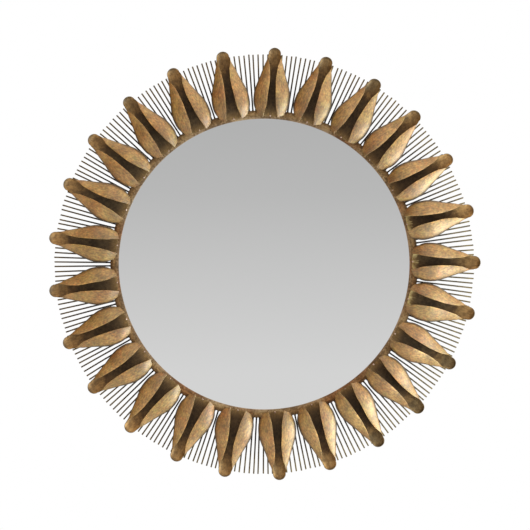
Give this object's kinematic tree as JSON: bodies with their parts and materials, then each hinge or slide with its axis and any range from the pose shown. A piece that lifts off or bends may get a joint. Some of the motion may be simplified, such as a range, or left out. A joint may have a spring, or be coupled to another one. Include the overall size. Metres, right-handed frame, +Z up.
{
  "type": "wall mirror",
  "caption": "Round wall mirror in a bronze ring, with curled sheet-metal petals and fine straight rods fanning out all round like a sunburst.",
  "frame": {"origin": "middle of the rear face of the hanger bar, which lies against the wall or its hooks; the centre of the glass is 170 mm below", "axes": "+X to the right as the glass is seen, +Y into the wall, +Z up; the glass faces -Y"},
  "size_m": [0.913, 0.0586, 0.9148],
  "materials": {
    "ring_bronze": "satin brown bronze, hand rubbed",
    "petal_brass": "satin aged brass with brown mottling, dark inside",
    "mirror_glass": "polished silvered glass",
    "back_board": "dull pressed board",
    "hanger_steel": "satin dark paint",
    "bumper_rubber": "dull black rubber"
  },
  "bodies": {
    "root": {"ring_with_rods": "ring_bronze", "petal_01": "petal_brass", "petal_02": "petal_brass", "petal_03": "petal_brass", "petal_04": "petal_brass", "petal_05": "petal_brass", "petal_06": "petal_brass", "petal_07": "petal_brass", "petal_08": "petal_brass", "petal_09": "petal_brass", "petal_10": "petal_brass", "petal_11": "petal_brass", "petal_12": "petal_brass", "petal_13": "petal_brass", "petal_14": "petal_brass", "petal_15": "petal_brass", "petal_16": "petal_brass", "petal_17": "petal_brass", "petal_18": "petal_brass", "petal_19": "petal_brass", "petal_20": "petal_brass", "petal_21": "petal_brass", "petal_22": "petal_brass", "petal_23": "petal_brass", "petal_24": "petal_brass", "petal_25": "petal_brass", "mirror_glass": "mirror_glass", "back_panel": "back_board", "hanger_bar": "hanger_steel", "bumper_left": "bumper_rubber", "bumper_right": "bumper_rubber"}
  },
  "joints": []
}
